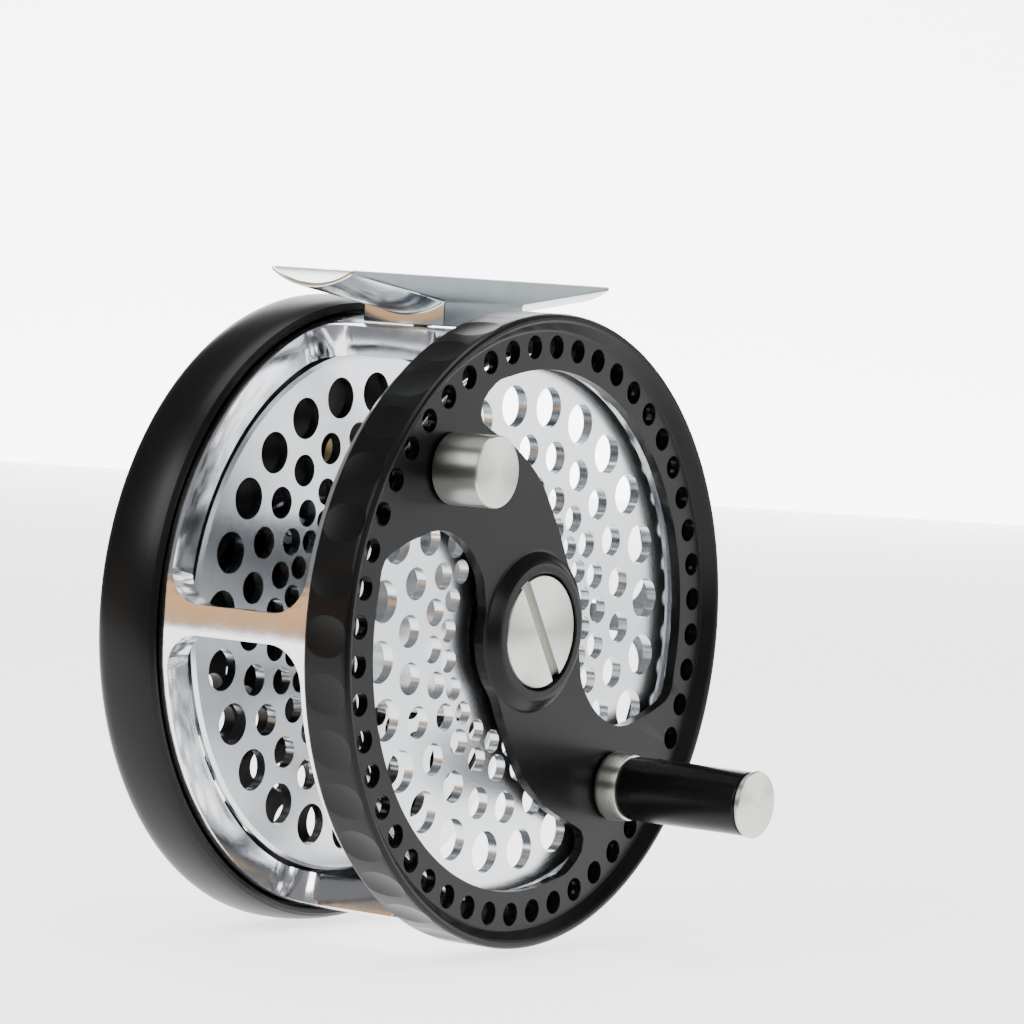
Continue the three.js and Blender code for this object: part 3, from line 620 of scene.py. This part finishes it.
# %% Back plate
BACK_FACE, BACK_INNER_FACE = 42.6, 40.6
SCREW_CIRCLE, SCREW_HEAD = 43.2, 1.95
VENTS = ((33.1, 3.1, 10), (26.3, 2.35, 11), (20.8, 2.05, 10))
VENT_HALF_ANGLE = 63.3
PAWL_PIVOT, RIVET_PLACE, HEAD_RADIUS = (14.8, 12.4), (30.5, 4.2), 1.4
SELECTOR_Z, STOP_PIN = 24.4, (8.3, 24.7)

back_plate = turn("rear_cover", [
    (2.8, BACK_FACE), (2.8, BACK_INNER_FACE), (39.8, BACK_INNER_FACE), (39.8, 36.8), (45.1, 36.8),
    (45.1, 34.1), (45.4, 33.8), (45.9, 33.8), (46.4, 34.3), (46.75, 35.1), (47, 36.2), (47.2, 37.5),
    (47.35, 39), (47.4, 40.5), (47.38, 41.6), (47.25, 42.5), (46.95, 43.2), (46.6, 43.6), (46.2, 43.78),
    (45.85, 43.65), (45.65, 43.3), (45.5, 42.75), (45.2, BACK_FACE)], steps=180)
holes = []
for radius, hole, count in VENTS:
    for i in range(count):
        holes.append((*clock(radius, 180 + VENT_HALF_ANGLE * (2 * i / (count - 1) - 1)), hole, 32))
for side in (-1, 1):
    holes.append((side * PAWL_PIVOT[0], PAWL_PIVOT[1], HEAD_RADIUS + 0.12, 20))
    holes.append((side * RIVET_PLACE[0], RIVET_PLACE[1], HEAD_RADIUS + 0.12, 20))
for angle in (60, 180, 300):
    holes.append((*clock(5.5, angle), 1.1, 16))
holes.append((0, SELECTOR_Z, 2.8, 24))
holes.append((*STOP_PIN, 0.85, 16))
combine(back_plate, drills(holes, BACK_INNER_FACE - 1, BACK_FACE + 1))
seats = [(*clock(SCREW_CIRCLE, angle), SCREW_HEAD + 0.2, 28) for angle in (0, 90, 180, 270)]
combine(back_plate, drills(seats, BACK_FACE - 1.2, BACK_FACE + 2))
threads = [(*clock(SCREW_CIRCLE, angle), 1.0, 16) for angle in (0, 90, 180, 270)]
combine(back_plate, drills(threads, 36, BACK_FACE))
soften(back_plate, 0.15, 2, 50)
finish_piece(back_plate, "black", "root", "black_anodised", "back_plate")

# %% [markdown]
# ## The spool's flanges and arbor
# The line is wound between two thin flanges that are drilled in four rows, 24 holes to a row. The
# rows are offset from each other so that the web between holes stays even. Each
# hole edge is chamfered so it can't cut the line, and those chamfers catch the light.

# %% Flanges and arbor
FLANGE_BORE, FLANGE_OUTER, FLANGE_THICK = 12.3, 39.2, 1.6
HOLE_ROWS = ((33, 3.1, 0), (26.3, 2.4, 1), (20.6, 2.05, 0), (17, 1.75, 1))


def flange(name, y, phase):
    piece = turn("drilled_" + name, [
        (FLANGE_BORE, y), (FLANGE_OUTER - 0.5, y), (FLANGE_OUTER, y + 0.5),
        (FLANGE_OUTER, y + FLANGE_THICK - 0.5),
        (FLANGE_OUTER - 0.5, y + FLANGE_THICK), (FLANGE_BORE, y + FLANGE_THICK)], steps=144)
    places = [
        (*clock(radius, phase + 15 * (i - stagger / 2)), hole, 28)
        for radius, hole, stagger in HOLE_ROWS for i in range(24)]
    combine(piece, drills(places, y - 1, y + FLANGE_THICK + 1))
    soften(piece, 0.22, 2, 50)
    finish_piece(piece, "spool", "spool", "spool_aluminium", name + "_flange")


flange("front", 3, 8)
flange("rear", 32.1, 1)

arbor = turn("arbor", [
    (6.8, 2.9), (12, 2.9), (12, 4.9), (13.7, 4.9), (14, 5.2), (14, 31.5), (13.7, 31.8), (12, 31.8),
    (12, 34.4), (5, 34.4), (5, 36.3), (4, 36.3), (4, 33), (6.8, 33)], steps=96)
finish_piece(arbor, "spool", "spool", "spool_aluminium", "spool_arbor")

# %% [markdown]
# ## The face plate and palming rim
# The black front plate is what the angler sees and holds. A bridge shaped like an S crosses two
# open windows and carries the hub, the handle and the counterweight. Round it runs a ring of 48
# holes, and then a rim that turns back over the cage so that a palm can brake the spool. The
# rim's 36 shallow scallops give that palm some grip; each is milled with a round-nosed cutter.

# %% Face plate
RIM_OUTER, WINDOW_RADIUS, HUB_RADIUS, PLATE_THICK = 46.7, 38.4, 12, 1.6
face_plate = turn("palming_plate", [
    (8.65, -1.45), (8.8, -1.6), (9.7, -1.6), (10.1, -1.55), (10.5, -1.3), (11.3, -0.5), (11.7, -0.15),
    (12.1, 0), (43.9, 0), (44.2, -0.15), (45.35, -1.6), (45.7, -1.84), (46.1, -1.88), (46.45, -1.7),
    (46.65, -1.35), (RIM_OUTER, -0.9), (RIM_OUTER, 5.5), (46.5, 5.9), (46.2, 6), (45.5, 6), (45.3, 5.8),
    (45.3, PLATE_THICK), (8.65, PLATE_THICK)],
    steps=216)

SCALLOP_RADIUS, SCALLOP_DEPTH, SCALLOP_Y = 28, 0.26, 2.1
bowl = [
    (radius, SCALLOP_DEPTH - radius ** 2 / (2 * SCALLOP_RADIUS))
    for radius in (4, 3.2, 2.4, 1.6, 0.8, 0.1)]
scallops = turn("scallops", [(4, -0.3)] + bowl, steps=48, bored=False)
only(scallops)
scallops.rotation_euler = (-math.pi / 2, 0, 0)
scallops.location = (0, SCALLOP_Y, RIM_OUTER)
bpy.ops.object.transform_apply()
copies_about_axis(scallops, 36, 10)
combine(face_plate, scallops)

upper_edge = [(-16.3, 31.5), (-12.6, 29), (-8.4, 27.4), (-4.2, 25), (-0.3, 21.9), (3.2, 17.3), (6.2, 12.6)]
hub_edge = [clock(HUB_RADIUS + 0.4, angle) for angle in range(40, 105, 16)]
lower_edge = [
    (12.5, -5.4), (13.2, -7.9), (14.8, -10.1), (17, -12.2), (20.7, -14.2), (24.4, -14.9),
    (29.4, -13.9), (33.4, -12.6)]
rim_edge = [clock(WINDOW_RADIUS, angle) for angle in range(106, -24, -6)]
window_outline = upper_edge + hub_edge + lower_edge + rim_edge
openings = []
for way in (1, -1):
    outline = [(way * x, way * z) for x, z in window_outline]
    openings.append(outline_block("window", outline, -1, PLATE_THICK + 1))
for opening in openings:
    combine(face_plate, opening)
ring_holes = [(*clock(41.75, -5.6 + 7.5 * i), 1.75, 24) for i in range(48)]
combine(face_plate, drills(ring_holes, -1, PLATE_THICK + 1))
pins = [(22.7, -23.8, 2.5, 24), (-22.7, 23.8, 1.6, 24)]
combine(face_plate, drills(pins, -1, PLATE_THICK + 1))
soften(face_plate, 0.2, 2, 40)
finish_piece(face_plate, "black", "spool", "black_anodised", "face_plate", flat_angle=5)

# %% [markdown]
# ## The spool screw
# One broad slotted screw holds the spool on its spindle, so an angler can change spools with a
# coin. Its head is nearly flush with the hub.

# %% Spool screw
SLOT_WIDTH, SLOT_DEPTH, SLOT_TURN = 1.9, 1.1, 57


def slot_tool(width, y0, y1, centre, degrees):
    """A long block that cuts a screwdriver slot through a centre, turned about Y."""
    tool = block((-20, 20), (y0, y1), (-width / 2, width / 2))
    tool.rotation_euler = (0, math.radians(degrees), 0)
    tool.location = (centre[0], 0, centre[1])
    bpy.ops.object.transform_apply()
    return tool


spool_screw = turn("centre_screw", [
    (0.1, -1.5), (7.9, -1.5), (8.2, -1.4), (8.35, -1.15), (8.35, 1), (4.6, 1), (4.6, 4.7), (2.2, 4.7),
    (2.2, 11.5), (0.1, 11.5)], steps=96, bored=False)
combine(spool_screw, slot_tool(SLOT_WIDTH, -3, -1.5 + SLOT_DEPTH, (0, 0), SLOT_TURN))
soften(spool_screw, 0.12, 2, 50)
finish_piece(spool_screw, "screw", "root", "turned_steel", "spool_screw")

# %% [markdown]
# ## Handle and counterweight
# The handle is a plain black barrel that turns on a steel post between a steel collar and a
# steel cap. A solid steel plug on the other end of the bridge balances it. All are turned, and
# the end faces keep the rings of the facing tool.

# %% Handle and counterweight


def plain_turning(name, profile, finish, body, slot_name, place, *nodes, bored=True, steps=72):
    piece = turn(name, profile, steps=steps, bored=bored, centre=place)
    finish_piece(piece, finish, body, slot_name, *nodes, flat_angle=30)


HANDLE, WEIGHT = (22.7, -23.8), (-22.7, 23.8)
plain_turning("balance_weight", [
    (0.1, -8.3), (4.8, -8.3), (5.05, -8.22), (5.2, -8), (5.2, -0.5), (5.0, -0.3), (1.6, -0.3),
    (1.6, -5.8), (0.1, -5.8)],
    "weight", "spool", "turned_steel", WEIGHT, "counterweight", bored=False)
plain_turning("grip_collar", [
    (2.5, -4), (4.7, -4), (4.92, -3.9), (5, -3.6), (5.2, -1.1), (5.18, -0.7), (5, -0.4), (4.8, -0.3),
    (2.5, -0.3)],
    "handle", "spool", "turned_steel", HANDLE, "handle_collar")
plain_turning("handle_barrel", [
    (2.5, -24.8), (4.6, -25), (4.8, -24.8), (4.8, -4.5), (4.6, -4.3), (2.5, -4.3)],
    "grip", "handle_grip", "black_grip", HANDLE, "handle_grip")
plain_turning("handle_cap", [
    (0.1, -26.2), (4.6, -26.2), (4.85, -26.12), (5, -25.9), (5, -25.5), (4.85, -25.3), (0.1, -25.3)],
    "handle", "handle_grip", "turned_steel", HANDLE, "handle_end_cap", bored=False)

# %% [markdown]
# ## The drag knob
# The knob screws down on the drag stack. Its side carries a diamond knurl, rolled in by two crossed
# wheels. Here the side is divided into a fine grid and every other crossing is pushed in, which
# gives rows of small pyramids like those of the rolled one. The face is spun smooth.

# %% Drag knob
KNOB_OUTER, KNOB_BACK, KNOB_FACE = 12.1, 42.9, 49.3
KNURLS, KNURL_ROWS, KNURL_DEPTH = 76, 12, 0.3
knurl_front, knurl_back = KNOB_FACE - 0.6, KNOB_BACK + 0.6
knob_profile = [
    (2.8, 48.3), (2.8, KNOB_BACK), (KNOB_OUTER - 0.5, KNOB_BACK),
    (KNOB_OUTER - 0.12, KNOB_BACK + 0.3)]
row_height = (knurl_front - knurl_back) / KNURL_ROWS
knob_profile += [(KNOB_OUTER, knurl_back + row_height * i) for i in range(KNURL_ROWS + 1)]
knob_profile += [(KNOB_OUTER - 0.12, KNOB_FACE - 0.3), (KNOB_OUTER - 0.45, KNOB_FACE - 0.04),
                 (KNOB_OUTER - 0.7, KNOB_FACE), (0.1, KNOB_FACE)]
knob = turn("brake_knob", [(0.1, 48.3)] + knob_profile, steps=2 * KNURLS, bored=False)
for vertex in knob.data.vertices:
    radius = math.hypot(vertex.co.x, vertex.co.z)
    row = (vertex.co.y - knurl_back) / row_height
    if abs(radius - KNOB_OUTER) < 0.01 and abs(row - round(row)) < 0.01:
        column = round(math.atan2(vertex.co.x, vertex.co.z) / math.pi * KNURLS)
        if (column + round(row)) % 2:
            shrink = (KNOB_OUTER - KNURL_DEPTH) / KNOB_OUTER
            vertex.co.x *= shrink
            vertex.co.z *= shrink
pick(knob, "FACE", lambda centre, normal: knurl_back < centre.y < knurl_front and abs(normal.y) < 0.5)
bpy.ops.mesh.quads_convert_to_tris(quad_method="SHORTEST_DIAGONAL", ngon_method="BEAUTY")
bpy.ops.object.mode_set(mode="OBJECT")
finish_piece(knob, "knob", "drag_knob", "knurled_knob", "drag_knob", flat_angle=12)

# %% [markdown]
# ## The click selector
# A small turned button sets the click. A raised bar across it, milled with sloping sides, gives
# finger and thumb something to turn, and a stop pin beside it ends the travel.

# %% Click selector
BUTTON_RADIUS, BUTTON_FACE, BAR_TURN = 7.2, 44.6, 18
button = turn("click_button", [
    (0.1, 40.5), (2.5, 40.5), (2.5, 42.9), (6.9, 42.9), (7.15, 43.05), (BUTTON_RADIUS, 43.3),
    (BUTTON_RADIUS, 44.2),
    (7.1, 44.5), (6.9, BUTTON_FACE), (0.1, BUTTON_FACE)], steps=96, bored=False, centre=(0, SELECTOR_Z))
sides = []
for side in (-1, 1):
    side_cut = block((2.9, 10), (43.6, 46), (-12, 12))
    for vertex in side_cut.data.vertices:
        if vertex.co.x < 3 and vertex.co.y > 45:
            vertex.co.x = 1.3
    side_cut.rotation_euler = (0, math.radians(BAR_TURN + (180 if side < 0 else 0)), 0)
    side_cut.location = (0, 0, SELECTOR_Z)
    only(side_cut)
    bpy.ops.object.transform_apply()
    sides.append(side_cut)
for side_cut in sides:
    combine(button, side_cut)
soften(button, 0.12, 2, 30)
finish_piece(button, "cage", "click_selector", "polished_aluminium", "selector_button")

# %% [markdown]
# ## Screws, rivets and pins in the back plate
# The four screws have slots turned every way, as hand-driven screws do. The springs and pawls of
# the click are held by small riveted heads: copper for the springs, steel with a turned dimple for
# the pawls.

# %% Small fastenings
screw_slots = (("top", 0, 100), ("right", 90, 60), ("bottom", 180, 20), ("left", 270, 75))
for screw_name, clock_angle, slot_angle in screw_slots:
    place = clock(SCREW_CIRCLE, clock_angle)
    screw = turn("screw_" + screw_name, [
        (0.1, 34.1), (0.8, 34.1), (0.8, 41.7), (1.85, 41.7), (SCREW_HEAD, 41.8), (SCREW_HEAD, 42.45),
        (1.85, 42.6),
        (1.6, 42.68), (0.1, 42.7)], steps=48, bored=False, centre=place)
    tool = block((-3, 3), (42.15, 43.5), (-0.28, 0.28))
    tool.rotation_euler = (0, math.radians(slot_angle), 0)
    tool.location = (place[0], 0, place[1])
    only(tool)
    bpy.ops.object.transform_apply()
    combine(screw, tool)
    soften(screw, 0.05, 1, 50)
    finish_piece(screw, "steel", "root", "stainless_steel", "back_plate_screw_" + screw_name)

for side_name, side in (("left", -1), ("right", 1)):
    for kind, place, finish, slot_name, node_name, top in (
            ("rivet", RIVET_PLACE, "copper", "copper", "spring_rivet_", 42.8),
            ("post", PAWL_PIVOT, "steel", "stainless_steel", "pawl_post_", 42.5)):
        bottom = 37.8 if kind == "rivet" else 34.7
        place = (side * place[0], place[1])
        plain_turning(f"{kind}_{side_name}", [
            (0.05, bottom), (1, bottom), (1, 41), (1.3, 41), (HEAD_RADIUS, 41.1), (HEAD_RADIUS, top - 0.2),
            (1.3, top - 0.05), (1.1, top), (0.8, top), (0.65, top - 0.12), (0.5, top - 0.3),
            (0.05, top - 0.35)],
            finish, "root", slot_name, place, node_name + side_name, bored=False, steps=40)

plain_turning("stop_pin", [
    (0.05, 41), (0.7, 41), (0.7, 43.2), (0.6, 43.4), (0.4, 43.5), (0.05, 43.5)],
    "steel", "root", "stainless_steel", STOP_PIN, "selector_stop_pin", bored=False, steps=32)

# %% [markdown]
# ## Parts kept from the frame
# The bearings, spindle, drag stack and click parts are already right in the frame and show only
# through holes. They keep their shapes and get the metals they are made of.

# %% Finish the inner parts
kept = {
    "steel": ["spindle", "one_way_clutch", "handle_post", "counterweight_screw", "foot_screw_left",
              "foot_screw_right", "front_bearing_inner_ring", "rear_bearing_inner_ring",
              "front_bearing_outer_ring", "rear_bearing_outer_ring"],
    "brass": ["click_gear", "drag_pressure_plate", "selector_cam", "front_bearing_ball_cage",
              "rear_bearing_ball_cage"],
    "spring": ["click_spring_left", "click_spring_right", "click_pawl_left", "click_pawl_right"],
    "cork": ["drag_disc"],
    "spool": ["bearing_spacer"],
}
for finish, names in kept.items():
    for name in names:
        mesh = frame["nodes"][name].data
        mesh.materials.clear()
        mesh.materials.append(finishes[finish])
shown = [n for n, o in frame["nodes"].items() if not o.hide_render]
print("kept from the frame:", sorted(set(shown)))
print("not given a finish:", sorted(set(shown) - {n for names in kept.values() for n in names}))

# %% [markdown]
# ## Floor and light
# A product studio for polished metal is mostly large white panels, since metal only shows what
# it reflects. A lit white table and backdrop give the whites, and soft panels at the left, the
# front and above give long clean highlights. Round the table the floor is grey, so that polished
# edges keep a darker line. The tan of the cage's side bar isn't a finish: one warm card, out of
# the camera's view, is reflected in the polished metal.

# %% Floor and light
FLOOR_GLOW, BACKDROP_GLOW, SKY = 2.2, 5, 0.3
TABLE_FRONT, TABLE_BACK, TABLE_HALF_WIDTH = 0.15, 3.4, 0.42
floor_z = min(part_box(name)[0].z for name in frame["nodes"]) - 0.0005
level_back = Vector((back.x, back.y, 0)).normalized()


def stage_plane(name, place, size, facing, shade):
    deselect()
    bpy.ops.mesh.primitive_plane_add(size=1, location=place)
    sheet = bpy.context.object
    sheet.name = name
    sheet.scale = (*size, 1)
    sheet.rotation_euler = facing
    sheet.data.materials.append(shade)
    return sheet


table_paint, table_shader = new_material("lit_white_acrylic", "f4f4f4", 0.9, 0)
mottle = node(table_paint, "TexNoise", Scale=3, Detail=2)
ramp = node(table_paint, "ValToRGB", {"Fac": mottle.outputs["Fac"]})
ramp.color_ramp.elements[0].color = linear("f3f3f3")
ramp.color_ramp.elements[1].color = linear("f8f8f8")
connect(table_paint, ramp.outputs["Color"], table_shader, "Base Color")
connect(table_paint, ramp.outputs["Color"], table_shader, "Emission Color")
table_shader.inputs["Emission Strength"].default_value = FLOOR_GLOW
table_middle = level_back * (TABLE_FRONT - TABLE_BACK) / 2
stage_plane(
    "light_table", (table_middle.x, table_middle.y, floor_z),
    (2 * TABLE_HALF_WIDTH, TABLE_FRONT + TABLE_BACK), (0, 0, CAMERA_AZIMUTH), table_paint)

room_paint, room_shader = new_material("grey_studio_floor", "77787a", 0.8, 0)
scuffs = node(room_paint, "TexNoise", Scale=5, Detail=3)
connect(room_paint, spread(room_paint, scuffs.outputs["Fac"], 0.7, 0.9), room_shader, "Roughness")
stage_plane("studio_floor", (0, 0, floor_z - 0.002), (14, 14), (0, 0, 0), room_paint)

glowing, glow_shader = new_material("lit_white_backdrop", "ffffff", 1, 0)
glow_shader.inputs["Emission Color"].default_value = linear("ffffff")
glow_shader.inputs["Emission Strength"].default_value = BACKDROP_GLOW
stage_plane(
    "backdrop", Vector((0, 0, 0.3)) - level_back * 1.6, (1.2, 1.4),
    (math.pi / 2, 0, CAMERA_AZIMUTH), glowing)

world = bpy.data.worlds.new("studio")
bpy.context.scene.world = world
world.use_nodes = True
sky = world.node_tree.nodes["Background"]
sky.inputs["Color"].default_value = linear("ffffff")
sky.inputs["Strength"].default_value = SKY


def panel(name, place, size, watts, target=(0, 0, -0.05)):
    """A soft rectangular light that faces a target."""
    light = bpy.data.lights.new(name, "AREA")
    light.shape = "RECTANGLE"
    light.size, light.size_y = size
    light.energy = watts
    lamp = bpy.data.objects.new(name, light)
    bpy.context.scene.collection.objects.link(lamp)
    lamp.location = place
    lamp.rotation_euler = (Vector(target) - Vector(place)).to_track_quat("-Z", "Y").to_euler()


def card(name, place, size, shade, target=(0, 0, -0.05)):
    """A sheet for metal to reflect, out of the camera's view."""
    facing = (Vector(target) - Vector(place)).to_track_quat("Z", "Y").to_euler()
    sheet = stage_plane(name, place, size, facing, shade)
    sheet.visible_shadow = False
    sheet.visible_camera = False


panel("left_panel", (-0.75, 0.1, 0.45), (0.5, 0.5), 7)
panel("front_panel", (0.75, -0.62, 0.1), (0.8, 0.7), 6)
panel("near_panel", (-0.35, -1.1, 0.35), (0.5, 0.5), 5)
panel("top_panel", (0, 0, 0.8), (0.7, 0.5), 6)
warm_card, card_shader = new_material("warm_wooden_card", "b88a5a", 0.8, 0)
grain = node(warm_card, "TexNoise", Scale=12, Detail=3)
connect(warm_card, spread(warm_card, grain.outputs["Fac"], 0.7, 0.9), card_shader, "Roughness")
card_shader.inputs["Emission Color"].default_value = linear("c8a27c")
card_shader.inputs["Emission Strength"].default_value = 0.8
card("warm_card", (-0.44, 0.32, -0.04), (0.24, 0.16), warm_card)
print("studio floor at z", round(floor_z, 4))
